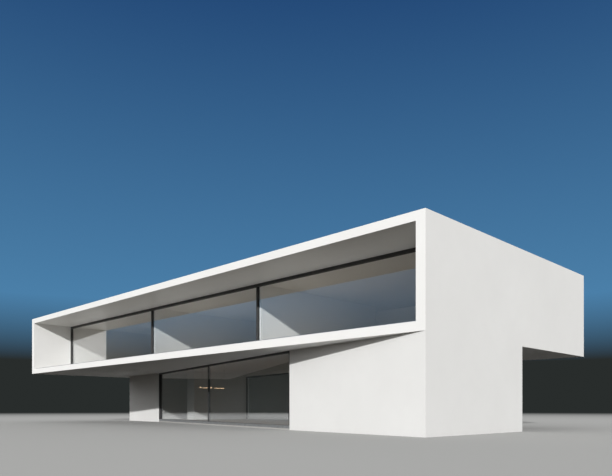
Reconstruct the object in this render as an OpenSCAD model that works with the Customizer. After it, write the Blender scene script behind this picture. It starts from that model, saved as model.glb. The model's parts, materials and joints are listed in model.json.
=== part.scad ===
// Detached house: a long white picture-frame storey carried across a shorter, skewed ground storey,
// with full-height glazing in dark frames and one large sliding leaf to the terrace.
// Plan places are given as [s, t]: s runs along the front from the near right-hand corner to the
// left end, t runs from the front face towards the back. Heights are above the ground.

/* [Upper storey] */
// Length of the upper storey along the front
box_l = 28910; // [26900:10:32000]
// Depth of the upper storey
box_d = 11840; // [11600:10:14000]
// Height of the underside of the upper floor above the ground
overhang_z = 2991; // [2700:1:3400]
// Thickness of the upper floor slab, seen as the lower fascia
floor_slab_t = 290; // [200:5:400]
// Clear height of the upper storey
upper_clear_h = 2835; // [2500:5:3300]
// Height of the roof edge, seen as the upper fascia
roof_edge_h = 284; // [240:1:420]
// Thickness of the outer walls
wall_t = 324; // [220:2:420]
// Depth of the open loggia, from the front face to the glazing
loggia_d = 2300; // [1500:10:3000]

/* [Roof] */
// Height of the parapet over the roof slab
parapet_h = 96; // [60:1:120]
// Fall of the parapet's top towards the roof
parapet_fall = 9; // [0:1:20]
// Width of the parapet round the roof tray
parapet_w = 300; // [200:5:450]
// Thickness of the roof covering at its high line
membrane_t = 46; // [30:1:55]
// Fall of the roof covering from its middle line to each long edge
membrane_fall = 24; // [0:1:26]

/* [Drip grooves] */
// Distance of the grooves under the slabs from the slabs' outer faces
drip_set = 40; // [25:1:80]
// Width of a drip groove
drip_w = 15; // [8:1:25]
// Depth of a drip groove
drip_d = 10; // [5:1:20]

/* [Loggia] */
// Thickness of the loggia's paving
paving_t = 30; // [20:1:38]
// Distance of the paving from the front edge
paving_set = 80; // [40:5:200]
// Width of the drain gap between the paving and the glazing
drain_gap = 60; // [30:5:120]

/* [Upper rooms] */
// Distance of the first partition's far face from the right end
partition_1_s = 10000; // [8500:10:11500]
// Distance of the second partition's far face from the right end
partition_2_s = 18580; // [17000:10:20500]
// Thickness of the partitions
partition_t = 145; // [100:5:300]
// Width of the passage between the partitions and the rear wall
passage_w = 1200; // [900:10:2000]
// Thickness of the inner floor covering
floor_finish_t = 40; // [38:1:60]

/* [Upper glazing] */
// Height of the head rail
upper_head_h = 110; // [60:2:160]
// Height of the sill rail
upper_sill_h = 70; // [50:2:120]
// Width of a post
post_w = 60; // [40:2:100]
// Depth of rails and posts
upper_frame_d = 140; // [90:2:180]
// Thickness of a pane
pane_t = 24; // [16:1:32]
// Depth of the groove that holds a pane
pane_grip = 15; // [8:1:18]

/* [Rear windows] */
// Height of the rear wall under the windows
rear_sill_h = 900; // [600:10:1300]
// Width of each rear window
rear_window_w = 4200; // [2400:10:5400]
// Distance of the rear windows from the outer face
rear_reveal = 120; // [60:5:160]
// Height of a rear window's head rail
rear_head_h = 80; // [50:2:120]
// Depth of a rear window's frame
rear_frame_d = 80; // [60:2:120]
// Fall of the outer window sills
rear_sill_fall = 12; // [4:1:20]

/* [Lower storey] */
// Angle between the front right wall and the front
lower_skew = 10.6; // [8:0.1:13]
// Length of the front right wall
front_right_l = 6983; // [5500:1:8000]
// Angle between the terrace glazing and the front
glazing_skew = 14.15; // [12.5:0.05:15.5]
// Length of the terrace glazing
glazing_l = 16420; // [15000:10:17200]
// Angle between the front left wall and the front
left_skew = 7.7; // [5:0.1:10]
// Length of the front left wall
front_left_l = 4850; // [4000:10:5400]
// Distance by which the front left wall stands proud of the glazing
left_proud = 20; // [10:2:150]
// Length of the right side wall
side_wall_l = 6040; // [5600:10:6400]
// Height of the raw ground slab above the ground
ground_slab_t = 60; // [40:5:150]

/* [Ground rooms] */
// Thickness of the ground floor's screed and boards, which end level with the door's sill
ground_floor_t = 110; // [104:2:150]
// Distance of the core's right face from the right end
core_s = 19550; // [19200:10:20000]
// Width of the core
core_w = 970; // [700:10:1400]
// Distance of the core's front from the front face, at its right edge
core_t = 5650; // [5400:10:6200]
// Thickness of the core's walls
core_wall_t = 150; // [100:5:250]
// Thickness of the hall partition
hall_wall_t = 150; // [100:5:250]
// Length of the hall partition, which ends at a passage along the rear wall
hall_wall_l = 3500; // [2500:10:3900]

/* [Rear glazing] */
// Width of the wall nib between the rear glazing and the core
garden_nib = 50; // [30:5:1500]
// Length of the rear glazing
garden_l = 9800; // [6000:10:11500]
// Number of panes in the rear glazing
garden_panes = 2; // [1:1:5]
// Height of the wall over the rear glazing
garden_lintel_h = 180; // [100:5:400]
// Distance of the rear glazing from the outer face
garden_reveal = 110; // [60:5:160]
// Depth of the rear glazing's frame
garden_frame_d = 80; // [60:2:110]
// Width of a post of the rear glazing
garden_post_w = 60; // [40:2:100]
// Height of the rear glazing's head rail
garden_rail_h = 70; // [50:2:110]

/* [Terrace door] */
// Height of the fixed head rail, which hides the leaves' top rails
door_head_h = 70; // [68:1:100]
// Width of the fixed side posts
door_jamb_w = 50; // [40:1:80]
// Depth of the pocket in the right side post that takes the closed leaf's stile
jamb_pocket = 16; // [10:1:24]
// Thickness of the fixed frame's outer and inner lips
lip_t = 15; // [12:1:30]
// Thickness of the sill and the head behind their tracks
track_floor = 22; // [15:1:25]
// Length of the moving leaf
leaf_l = 8320; // [7900:10:8700]
// Depth of a leaf
leaf_d = 50; // [46:1:80]
// Thickness of the web between the two tracks
web_t = 10; // [8:1:20]
// Width of a leaf's stile
stile_w = 50; // [44:1:90]
// Free space round the moving leaf
run_clear = 6; // [5:0.5:8]
// Gap between a roller and its rail
roll_gap = 0.3; // [0.1:0.1:0.8]
// Thickness of the rail rib and guide fin
rib_t = 8; // [6:1:10]
// Height of the rail rib over the floor of its track
rib_h = 14; // [12:1:18]
// Length of the guide fin in the head's track
fin_l = 20; // [16:1:24]
// Radius of a roller at its tread
roller_r = 17; // [14:0.5:20]
// Number of roller carriages under the moving leaf
carriages = 4; // [2:1:6]
// Number of drain slots through the sill's outer lip
drain_slots = 9; // [4:1:16]
// Length of a drain slot
drain_slot_l = 60; // [30:5:100]
// Height of a drain slot
drain_slot_h = 8; // [5:1:12]
// Length of the pull handle
handle_l = 420; // [250:10:700]
// Height of the handle's middle above the floor
handle_z = 1050; // [900:10:1200]
// Diameter of the handle's grip
handle_dia = 22; // [16:1:30]
// Reach of the handle from the stile
handle_reach = 55; // [40:1:80]

/* [Pendant lamp] */
// Distance of the lamp from the right end
lamp_s = 17900; // [17000:10:18500]
// Distance of the lamp's front end from the front face
lamp_t = 4900; // [4700:10:5200]
// Length of the lamp's bar
lamp_l = 1720; // [1700:10:2000]
// Height of the lamp's bar above the ground
lamp_z = 1930; // [1700:10:2200]
// Width of the bar
bar_w = 24; // [16:1:40]
// Height of the bar's section
bar_h = 18; // [12:1:30]
// Radius of the two rods that the bar hangs on
rod_r = 5; // [3:0.5:10]
// Radius of a rod's ceiling cup
cup_r = 35; // [20:1:60]
// Height of a ceiling cup
cup_h = 25; // [10:1:50]
// Radius of a globe
globe_r = 42; // [30:1:60]
// Radius of a light tube
tube_r = 20; // [14:1:28]

/* [Fits] */
// Joint left round a piece that is set at an angle between others
fit_gap = 0.3; // [0.1:0.1:0.8]
// Joint left round the floor coverings, at the walls
floor_joint = 8; // [3:1:15]

/* [Hidden] */

eps = 1;
white = [0.93, 0.93, 0.92];
roof_grey = [0.72, 0.72, 0.70];
frame_black = [0.06, 0.06, 0.06];
sill_grey = [0.50, 0.48, 0.46];
glass_tint = [0.45, 0.55, 0.58, 0.35];
floor_brown = [0.45, 0.36, 0.28];
lamp_white = [1.0, 0.90, 0.76];

upper_floor_z = overhang_z + floor_slab_t;
roof_z = upper_floor_z + upper_clear_h;
house_h = roof_z + roof_edge_h;

// Plan geometry in [s, t]
function along(a) = [cos(a), sin(a)];
function inward(a) = [-sin(a), cos(a)];
function cross_z(u, v) = u[0] * v[1] - u[1] * v[0];
function meet(p, a, q, b) = p + along(a) * cross_z(q - p, along(b)) / cross_z(along(a), along(b));
function at(p) = [box_l / 2 - p[0], p[1] - box_d / 2];
function outline(points) = [for (p = points) at(p)];

// A plan outline drawn in by d all round; its points run anticlockwise in [s, t]
function edge_dir(a, b) = (b - a) / norm(b - a);
function left_of(u) = [-u[1], u[0]];
function drawn_in(points, d) = let (n = len(points)) [for (i = [0:n - 1])
    let (u = left_of(edge_dir(points[(i + n - 1) % n], points[i])),
        v = left_of(edge_dir(points[i], points[(i + 1) % n])))
    points[i] + d * (u + v) / (1 + u * v)];

// Corners of the lower storey
near_corner = [0, 0];
door_right = near_corner + front_right_l * along(lower_skew);
door_left = door_right + glazing_l * along(glazing_skew);
left_start = door_left - left_proud * inward(glazing_skew);
left_end = left_start + front_left_l * along(left_skew);
back_corner = [0, side_wall_l];
back_left = meet(back_corner, lower_skew, left_end, 90);

// Inner faces of the lower storey's walls
side_in = [wall_t, 0];
front_in = near_corner + wall_t * inward(lower_skew);
left_in = left_start + wall_t * inward(left_skew);
end_in = left_end - [wall_t, 0];
back_in = back_corner - wall_t * inward(lower_skew);
in_front_right = meet(front_in, lower_skew, side_in, 90);
in_door_right = meet(front_in, lower_skew, door_right, glazing_skew + 90);
in_door_left = meet(left_in, left_skew, door_left, glazing_skew + 90);
in_front_left = meet(left_in, left_skew, end_in, 90);
in_back_left = meet(back_in, lower_skew, end_in, 90);
in_back_right = meet(back_in, lower_skew, side_in, 90);

// The inner face of the rear wall at a distance s from the right end
function rear_inside(s) = meet(back_in, lower_skew, [s, 0], 90);

// Opening of the rear glazing, on the inner and outer faces of the rear wall
garden_left_in = rear_inside(core_s - garden_nib);
garden_right_in = garden_left_in - garden_l * along(lower_skew);
garden_left = garden_left_in + wall_t * inward(lower_skew);
garden_right = garden_right_in + wall_t * inward(lower_skew);
garden_top = overhang_z - garden_lintel_h;

// Core and hall partition
core_right_front = [core_s, core_t];
core_left_front = core_right_front + core_w / cos(lower_skew) * along(lower_skew);
core_front_in = core_right_front + core_wall_t * inward(lower_skew);
hall_s = in_door_left[0];
hall_far_t = in_door_left[1] + hall_wall_l;
hall_outline = [in_door_left, meet(left_in, left_skew, [hall_s + hall_wall_t, 0], 90),
    [hall_s + hall_wall_t, hall_far_t], [hall_s, hall_far_t]];

// Levels of the ground storey
floor_z = ground_slab_t + ground_floor_t;
sill_z = ground_slab_t + fit_gap;
head_z = overhang_z - fit_gap;

// Terrace door: a head and a sill with two tracks. The moving leaf runs in the outer one, and the
// fixed leaf stands in the inner one. Rails end level with the floor and with the head's lower edge.
door_l = glazing_l - 2 * fit_gap;
sill_h = floor_z - sill_z;
head_low = head_z - door_head_h;
clear_z = [floor_z, head_low];
moving_track = [lip_t, lip_t + leaf_d + 2 * run_clear];
fixed_track = [moving_track[1] + web_t, moving_track[1] + web_t + leaf_d + 2 * fit_gap];
door_d = fixed_track[1] + lip_t;
groove_t = pane_t + 2 * fit_gap;

// Places of the two leaves in the door's own frame
moving_at = [door_jamb_w - jamb_pocket + run_clear, moving_track[0] + run_clear,
    sill_z + track_floor + run_clear];
moving_h = head_z - track_floor - run_clear - moving_at[2];
fixed_at = [moving_at[0] + leaf_l - stile_w, fixed_track[0] + fit_gap, sill_z + track_floor + fit_gap];
fixed_l = door_l - door_jamb_w - fit_gap - fixed_at[0];
fixed_h = head_z - track_floor - fit_gap - fixed_at[2];

// Rail rib, guide fin and roller carriages
rib_y = moving_at[1] + leaf_d / 2;
rib_z = sill_z + track_floor + rib_h;
rib_play = 5;
flange_t = 4;
flange_h = 4;
wheel_gap = 4;
cheek_t = 4;
cheek_play = 1;
plate_t = 2;
carriage_l = 130;
carriage_inset = 300;
wheel_groove_w = rib_t + 2 * rib_play;
wheel_w = wheel_groove_w + 2 * flange_t;
groove_w = wheel_w + 2 * (cheek_t + cheek_play);
roller_z = rib_z + roll_gap + roller_r;
groove_d = roller_z + roller_r + flange_h + wheel_gap + plate_t - moving_at[2];
guide_groove_w = rib_t + 2 * (run_clear + rib_play / 2);

// Upper glazing
upper_l = box_l - 2 * wall_t;
upper_pane_y = loggia_d + upper_frame_d / 2 - pane_t / 2;
post_places = [wall_t, partition_1_s - post_w, partition_2_s - post_w, box_l - wall_t - post_w];
room_starts = [wall_t, partition_1_s, partition_2_s];
room_ends = [partition_1_s - partition_t, partition_2_s - partition_t, box_l - wall_t];

// A box from its right-hand front lower corner in [s, t], with its length along s and depth along t
module block(s, t, z, l, d, h) {
    translate([box_l / 2 - s - l, t - box_d / 2, z]) cube([l, d, h]);
}

// A wall or slab from its plan outline
module slab(points, z, h) {
    translate([0, 0, z]) linear_extrude(height = h) polygon(outline(points));
}

// Moves a child that lies along X from 0 to the left, front face on Y 0, to a line through p at angle a
module along_line(p, a) {
    place = at(p);
    translate([place[0], place[1], 0]) rotate([0, 0, -a]) mirror([1, 0, 0]) children();
}

// A drip groove in the underside of a slab whose lower face is at z
module drip_groove(s, t, z, l, d) {
    block(s, t, z - eps, l, d, drip_d + eps);
}

// The upper floor has a drip groove along every edge that stands out over the lower storey
module upper_floor_slab() {
    inner = drip_set + drip_w;
    front_start = (inner + drip_w) / tan(lower_skew);
    side_start = side_wall_l + drip_w;
    color(white) difference() {
        block(0, 0, overhang_z, box_l, box_d, floor_slab_t);
        drip_groove(front_start, drip_set, overhang_z, box_l - drip_set - front_start, drip_w);
        drip_groove(drip_set, box_d - inner, overhang_z, box_l - 2 * drip_set, drip_w);
        drip_groove(box_l - inner, drip_set, overhang_z, drip_w, box_d - 2 * drip_set);
        drip_groove(drip_set, side_start, overhang_z, drip_w, box_d - drip_set - side_start);
    }
}

module roof_slab() {
    color(white) difference() {
        block(0, 0, roof_z, box_l, box_d, roof_edge_h - parapet_h);
        drip_groove(wall_t, drip_set, roof_z, upper_l, drip_w);
    }
}

// Low upstand along the four edges of the roof, flush with the fascia. Its top falls towards the roof
module parapet() {
    z = house_h - parapet_h;
    section = [[0, 0], [parapet_w, 0], [parapet_w, parapet_h - parapet_fall], [0, parapet_h]];
    color(white) {
        for (k = [0, 1]) mirror([0, k, 0]) translate([-box_l / 2, -box_d / 2, z])
            rotate([90, 0, 90]) linear_extrude(height = box_l) polygon(section);
        for (k = [0, 1]) mirror([k, 0, 0]) translate([-box_l / 2, box_d / 2, z])
            rotate([90, 0, 0]) linear_extrude(height = box_d) polygon(section);
    }
}

// Roof covering with a ridge line along the middle and a slight fall to both long edges
module roof_covering() {
    tray_d = box_d - 2 * parapet_w;
    color(roof_grey)
        translate([-box_l / 2 + parapet_w, -tray_d / 2, house_h - parapet_h])
        rotate([90, 0, 90]) linear_extrude(height = box_l - 2 * parapet_w)
        polygon([[0, 0], [tray_d, 0], [tray_d, membrane_t - membrane_fall],
            [tray_d / 2, membrane_t], [0, membrane_t - membrane_fall]]);
}

module right_end_wall() {
    color(white) block(0, 0, upper_floor_z, wall_t, box_d, upper_clear_h);
}

module left_end_wall() {
    color(white) block(box_l - wall_t, 0, upper_floor_z, wall_t, box_d, upper_clear_h);
}

// Middle of a rear window, and the place of its right-hand edge
function rear_mid(i) = (room_starts[i] + room_ends[i]) / 2;
function rear_right(i) = rear_mid(i) - rear_window_w / 2;

// The wall under the rear windows, whose top falls outwards in front of each window
module rear_sill_wall() {
    slope = rear_sill_fall / rear_reveal;
    wedge = [[0, 0], [rear_reveal + eps, -slope * (rear_reveal + eps)], [rear_reveal + eps, eps], [0, eps]];
    color(white) difference() {
        block(wall_t, box_d - wall_t, upper_floor_z, upper_l, wall_t, rear_sill_h);
        for (i = [0:2])
            translate([box_l / 2 - rear_right(i) - rear_window_w, box_d / 2 - rear_reveal, rear_window_z])
            rotate([90, 0, 90]) linear_extrude(height = rear_window_w) polygon(wedge);
    }
}

module rear_piers() {
    starts = [wall_t, for (i = [0:2]) rear_right(i) + rear_window_w];
    ends = [for (i = [0:2]) rear_right(i), box_l - wall_t];
    color(white) for (i = [0:3])
        block(starts[i], box_d - wall_t, upper_floor_z + rear_sill_h,
            ends[i] - starts[i], wall_t, upper_clear_h - rear_sill_h);
}

module partition(s) {
    color(white) block(s - partition_t, loggia_d + upper_frame_d, upper_floor_z, partition_t,
        box_d - wall_t - passage_w - loggia_d - upper_frame_d, upper_clear_h);
}

module partitions() {
    for (s = [partition_1_s, partition_2_s]) partition(s);
}

module loggia_paving() {
    color(roof_grey) block(wall_t, paving_set, upper_floor_z, upper_l,
        loggia_d - drain_gap - paving_set, paving_t);
}

// One floor covering through the three rooms and the passage, cut round the partitions
module bedroom_floor() {
    front_t = loggia_d + upper_frame_d;
    passage_t = box_d - wall_t - passage_w;
    far_s = box_l - wall_t;
    rooms = [[wall_t, front_t],
        for (s = [partition_1_s, partition_2_s])
            each [[s - partition_t, front_t], [s - partition_t, passage_t],
                [s, passage_t], [s, front_t]],
        [far_s, front_t], [far_s, box_d - wall_t], [wall_t, box_d - wall_t]];
    color(floor_brown) slab(drawn_in(rooms, floor_joint), upper_floor_z, floor_finish_t);
}

module upper_head_rail() {
    color(frame_black) difference() {
        block(wall_t, loggia_d, roof_z - upper_head_h, upper_l, upper_frame_d, upper_head_h);
        block(wall_t - eps, upper_pane_y, roof_z - upper_head_h - eps, upper_l + 2 * eps, pane_t,
            pane_grip + eps);
    }
}

module upper_sill_rail() {
    color(frame_black) difference() {
        block(wall_t, loggia_d, upper_floor_z, upper_l, upper_frame_d, upper_sill_h);
        block(wall_t - eps, upper_pane_y, upper_floor_z + upper_sill_h - pane_grip,
            upper_l + 2 * eps, pane_t, pane_grip + eps);
    }
}

module upper_posts() {
    post_z = upper_floor_z + upper_sill_h;
    post_h = upper_clear_h - upper_sill_h - upper_head_h;
    color(frame_black) for (s = post_places) difference() {
        block(s, loggia_d, post_z, post_w, upper_frame_d, post_h);
        for (side = [-eps, post_w - pane_grip])
            block(s + side, upper_pane_y, post_z - eps, pane_grip + eps, pane_t, post_h + 2 * eps);
    }
}

module upper_pane(i) {
    start = post_places[i] + post_w - pane_grip;
    color(glass_tint) block(start, upper_pane_y, upper_floor_z + upper_sill_h - pane_grip,
        post_places[i + 1] + pane_grip - start, pane_t,
        upper_clear_h - upper_sill_h - upper_head_h + 2 * pane_grip);
}

module upper_glass_right() { upper_pane(0); }

module upper_glass_middle() { upper_pane(1); }

module upper_glass_left() { upper_pane(2); }

rear_window_z = upper_floor_z + rear_sill_h;
rear_window_h = upper_clear_h - rear_sill_h;
rear_frame_y = box_d - rear_reveal - rear_frame_d;
rear_pane_y = rear_frame_y + rear_frame_d / 2 - pane_t / 2;

module rear_window_rails() {
    color(frame_black) for (i = [0:2]) difference() {
        union() {
            block(rear_right(i), rear_frame_y, rear_window_z, rear_window_w, rear_frame_d, post_w);
            block(rear_right(i), rear_frame_y, roof_z - rear_head_h, rear_window_w, rear_frame_d,
                rear_head_h);
        }
        block(rear_right(i) - eps, rear_pane_y, rear_window_z + post_w - pane_grip,
            rear_window_w + 2 * eps, pane_t, rear_window_h - post_w - rear_head_h + 2 * pane_grip);
    }
}

module rear_window_posts() {
    h = rear_window_h - post_w - rear_head_h;
    color(frame_black) for (i = [0:2], k = [0:2]) {
        s = rear_right(i) + k * (rear_window_w - post_w) / 2;
        difference() {
            block(s, rear_frame_y, rear_window_z + post_w, post_w, rear_frame_d, h);
            for (side = [-eps, post_w - pane_grip])
                block(s + side, rear_pane_y, rear_window_z + post_w - eps, pane_grip + eps, pane_t,
                    h + 2 * eps);
        }
    }
}

module rear_window_glass() {
    pane_w = (rear_window_w - 3 * post_w) / 2 + 2 * pane_grip;
    color(glass_tint) for (i = [0:2], k = [0:1])
        block(rear_right(i) + post_w - pane_grip + k * (rear_window_w - post_w) / 2, rear_pane_y,
            rear_window_z + post_w - pane_grip, pane_w, pane_t,
            rear_window_h - post_w - rear_head_h + 2 * pane_grip);
}

// Ground slab, out to the glazing's outer faces, inside the walls elsewhere
module ground_slab() {
    color(roof_grey) slab([in_front_right, in_door_right, door_right, door_left, in_door_left,
        in_front_left, in_back_left, garden_left_in, garden_left, garden_right, garden_right_in,
        in_back_right], 0, ground_slab_t);
}

module right_side_wall() {
    color(white) slab([near_corner, in_front_right, in_back_right, back_corner], 0, overhang_z);
}

module front_right_wall() {
    color(white) slab([near_corner, door_right, in_door_right, in_front_right], 0, overhang_z);
}

module front_left_wall() {
    color(white) slab([left_start, left_end, in_front_left, in_door_left], 0, overhang_z);
}

module left_side_wall() {
    color(white) slab([left_end, back_left, in_back_left, in_front_left], 0, overhang_z);
}

// The rear wall beside and over the rear glazing
module rear_wall_right() {
    color(white) {
        slab([back_corner, in_back_right, garden_right_in, garden_right], 0, overhang_z);
        slab([garden_right, garden_right_in, garden_left_in, garden_left], garden_top, garden_lintel_h);
    }
}

module rear_wall_left() {
    color(white) slab([garden_left, garden_left_in, in_back_left, back_left], 0, overhang_z);
}

// The core: a front wall and two side walls that run back to the rear wall
module core_front_wall() {
    color(white) slab([core_right_front, core_left_front,
        meet(core_front_in, lower_skew, core_left_front, 90),
        meet(core_front_in, lower_skew, core_right_front, 90)], ground_slab_t,
        overhang_z - ground_slab_t);
}

module core_side_walls() {
    color(white) for (s = [core_s, core_s + core_w - core_wall_t])
        slab([for (q = [s, s + core_wall_t]) meet(core_front_in, lower_skew, [q, 0], 90) + [0, fit_gap],
            for (q = [s + core_wall_t, s]) rear_inside(q) - [0, fit_gap]],
            ground_slab_t, overhang_z - ground_slab_t);
}

// The hall partition runs back from the inner corner of the front left wall
module hall_partition() {
    color(white) slab(hall_outline, ground_slab_t, overhang_z - ground_slab_t);
}

// Floor covering of the ground rooms, from door frame to rear frame, laid round the inner walls
module ground_floor() {
    frame_back = door_d * inward(glazing_skew);
    garden_front = (garden_reveal + garden_frame_d) * inward(lower_skew);
    rooms = [in_front_right, in_door_right, door_right + frame_back,
        door_left + frame_back, for (i = [0, 3, 2, 1]) hall_outline[i], in_front_left, in_back_left,
        rear_inside(core_s + core_w), core_left_front, core_right_front, rear_inside(core_s),
        garden_left_in, garden_left - garden_front, garden_right - garden_front, garden_right_in,
        in_back_right];
    color(floor_brown) slab(drawn_in(rooms, floor_joint), ground_slab_t, ground_floor_t);
}

// Rear glazing of the living room, in its opening on the slab, with its panes held in grooves
garden_inner_l = garden_l - 2 * fit_gap;
garden_start = garden_right - (garden_reveal + garden_frame_d) * inward(lower_skew)
    + fit_gap * along(lower_skew);
garden_pitch = (garden_inner_l - garden_post_w) / garden_panes;
garden_post_h = garden_top - fit_gap - garden_rail_h - floor_z;

module garden_line() {
    translate([0, 0, sill_z]) along_line(garden_start, lower_skew) children();
}

module garden_rails() {
    color(frame_black) garden_line() difference() {
        union() {
            cube([garden_inner_l, garden_frame_d, sill_h]);
            translate([0, 0, sill_h + garden_post_h])
                cube([garden_inner_l, garden_frame_d, garden_rail_h]);
        }
        translate([-eps, (garden_frame_d - groove_t) / 2, sill_h - pane_grip - fit_gap])
            cube([garden_inner_l + 2 * eps, groove_t, garden_post_h + 2 * (pane_grip + fit_gap)]);
    }
}

module garden_posts() {
    color(frame_black) garden_line() for (i = [0:garden_panes])
        translate([i * garden_pitch, 0, sill_h]) difference() {
            cube([garden_post_w, garden_frame_d, garden_post_h]);
            for (x = [-eps, garden_post_w - pane_grip - fit_gap])
                translate([x, (garden_frame_d - groove_t) / 2, -eps])
                cube([pane_grip + fit_gap + eps, groove_t, garden_post_h + 2 * eps]);
        }
}

module garden_glass() {
    color(glass_tint) garden_line() for (i = [0:garden_panes - 1])
        translate([i * garden_pitch + garden_post_w - pane_grip, (garden_frame_d - pane_t) / 2,
            sill_h - pane_grip])
        cube([garden_pitch - garden_post_w + 2 * pane_grip, pane_t, garden_post_h + 2 * pane_grip]);
}

// The fixed frame of the terrace door, on its own line from the front right wall to the left one
module door_line() {
    along_line(door_right + fit_gap * along(glazing_skew), glazing_skew) children();
}

// Section of a head or sill, h high: a floor, an outer lip, a web between the tracks, an inner lip
// and a rib in the moving leaf's track
function track_section(h, rib) = [
    [0, 0], [door_d, 0], [door_d, h], [fixed_track[1], h], [fixed_track[1], track_floor],
    [fixed_track[0], track_floor], [fixed_track[0], h], [moving_track[1], h],
    [moving_track[1], track_floor], [rib_y + rib_t / 2, track_floor],
    [rib_y + rib_t / 2, track_floor + rib], [rib_y - rib_t / 2, track_floor + rib],
    [rib_y - rib_t / 2, track_floor], [lip_t, track_floor], [lip_t, h], [0, h]];

module track(h, rib) {
    rotate([90, 0, 90]) linear_extrude(height = door_l) polygon(track_section(h, rib));
}

module terrace_head_rail() {
    color(frame_black) door_line() translate([0, 0, head_z]) mirror([0, 0, 1])
        track(door_head_h, fin_l);
}

// The sill, with a cover over the inner track's free half and drain slots through the outer lip
module terrace_sill() {
    cover_t = 12;
    cover_x = door_jamb_w + fit_gap;
    bite = 2;
    slot_z = track_floor + 2;
    slot_pitch = (door_l - 2 * door_jamb_w) / drain_slots;
    color(sill_grey) door_line() translate([0, 0, sill_z]) difference() {
        union() {
            track(sill_h, rib_h);
            translate([cover_x, fixed_track[0] - bite, sill_h - eps - cover_t])
                cube([fixed_at[0] - cover_x - run_clear, fixed_track[1] - fixed_track[0] + 2 * bite,
                    cover_t]);
        }
        for (i = [0:drain_slots - 1])
            translate([door_jamb_w + (i + 0.5) * slot_pitch - drain_slot_l / 2, -eps, slot_z])
            cube([drain_slot_l, lip_t + 2 * eps, drain_slot_h]);
    }
}

// The side posts stand on the sill and reach up to the head, and the right one has the pocket
module terrace_jambs() {
    z0 = clear_z[0] + fit_gap;
    h = clear_z[1] - fit_gap - z0;
    color(frame_black) door_line() {
        translate([door_l - door_jamb_w, 0, z0]) cube([door_jamb_w, door_d, h]);
        translate([0, 0, z0]) difference() {
            cube([door_jamb_w, door_d, h]);
            translate([door_jamb_w - jamb_pocket, moving_track[0], -eps])
                cube([jamb_pocket + eps, moving_track[1] - moving_track[0], h + 2 * eps]);
        }
    }
}

// A leaf frame, l long, with its foot and top at the heights z, and its rails ending at the clear
// height of the door. Its lower right-hand outer corner is the origin, and it has a groove for the pane
module leaf_frame(l, z) {
    low = clear_z[0] - z[0];
    high = clear_z[1] - z[0];
    bite = pane_grip + fit_gap;
    difference() {
        cube([l, leaf_d, z[1] - z[0]]);
        translate([stile_w, -eps, low]) cube([l - 2 * stile_w, leaf_d + 2 * eps, high - low]);
        translate([stile_w - bite, (leaf_d - groove_t) / 2, low - bite])
            cube([l - 2 * (stile_w - bite), groove_t, high - low + 2 * bite]);
    }
}

module leaf_pane(l, z) {
    translate([stile_w - pane_grip, (leaf_d - pane_t) / 2, clear_z[0] - z[0] - pane_grip])
        cube([l - 2 * stile_w + 2 * pane_grip, pane_t, clear_z[1] - clear_z[0] + 2 * pane_grip]);
}

fixed_heights = [fixed_at[2], fixed_at[2] + fixed_h];
moving_heights = [moving_at[2], moving_at[2] + moving_h];

module fixed_leaf_frame() {
    color(frame_black) door_line() translate(fixed_at) leaf_frame(fixed_l, fixed_heights);
}

module fixed_leaf_glass() {
    color(glass_tint) door_line() translate(fixed_at) leaf_pane(fixed_l, fixed_heights);
}

// The moving leaf has a groove below for its roller carriages and one above for the guide fin
module sliding_leaf_frame() {
    color(frame_black) door_line() translate(moving_at) difference() {
        leaf_frame(leaf_l, moving_heights);
        translate([-eps, (leaf_d - groove_w) / 2, -eps])
            cube([leaf_l + 2 * eps, groove_w, groove_d + eps]);
        translate([-eps, (leaf_d - guide_groove_w) / 2, moving_h - fin_l])
            cube([leaf_l + 2 * eps, guide_groove_w, fin_l + eps]);
    }
}

module sliding_leaf_glass() {
    color(glass_tint) door_line() translate(moving_at) leaf_pane(leaf_l, moving_heights);
}

// A carriage with two flanged rollers that run on the sill's rib, hung in the leaf's groove
module carriage() {
    top_z = moving_at[2] + groove_d - roller_z;
    cheek_low = -6;
    side_y = wheel_w / 2;
    wheel_x = roller_r + wheel_gap;
    for (x = [wheel_x, carriage_l - wheel_x]) translate([x, 0, 0]) rotate([90, 0, 0])
        rotate_extrude($fn = 48) polygon([
            [0, -side_y], [roller_r + flange_h, -side_y],
            [roller_r + flange_h, -wheel_groove_w / 2], [roller_r, -wheel_groove_w / 2],
            [roller_r, wheel_groove_w / 2], [roller_r + flange_h, wheel_groove_w / 2],
            [roller_r + flange_h, side_y], [0, side_y]]);
    for (y = [-side_y - cheek_t, side_y]) translate([0, y, cheek_low])
        cube([carriage_l, cheek_t, top_z - cheek_low]);
    translate([0, -side_y - cheek_t, top_z - plate_t])
        cube([carriage_l, wheel_w + 2 * cheek_t, plate_t]);
}

module leaf_rollers() {
    pitch = (leaf_l - 2 * carriage_inset - carriage_l) / (carriages - 1);
    color("silver") door_line() for (i = [0:carriages - 1])
        translate([moving_at[0] + carriage_inset + i * pitch, rib_y, roller_z]) carriage();
}

// Pull handle on the room face of the moving leaf's closing stile
module leaf_handle() {
    grip_r = handle_dia / 2;
    standoff_r = 0.7 * grip_r;
    standoff_inset = 3 * grip_r;
    face_y = moving_at[1] + leaf_d;
    grip_y = face_y + handle_reach - grip_r;
    z0 = floor_z + handle_z - handle_l / 2;
    color("silver") door_line() translate([moving_at[0] + stile_w - handle_dia / 2 - 2, 0, 0]) {
        translate([0, grip_y, z0]) cylinder(r = grip_r, h = handle_l, $fn = 32);
        for (z = [z0 + standoff_inset, z0 + handle_l - standoff_inset])
            translate([0, face_y, z]) rotate([-90, 0, 0])
            cylinder(r = standoff_r, h = grip_y - face_y, $fn = 24);
    }
}

// Pendant lamp: a thin bar hung on two rods from ceiling cups, with globes and tubes seated on it
rod_places = [172, lamp_l - 25];
globe_places = [70, 785];
globe_seat = 4;
tube_spans = [[235, 655], [1025, 1670]];
tube_seat = 3;

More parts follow.
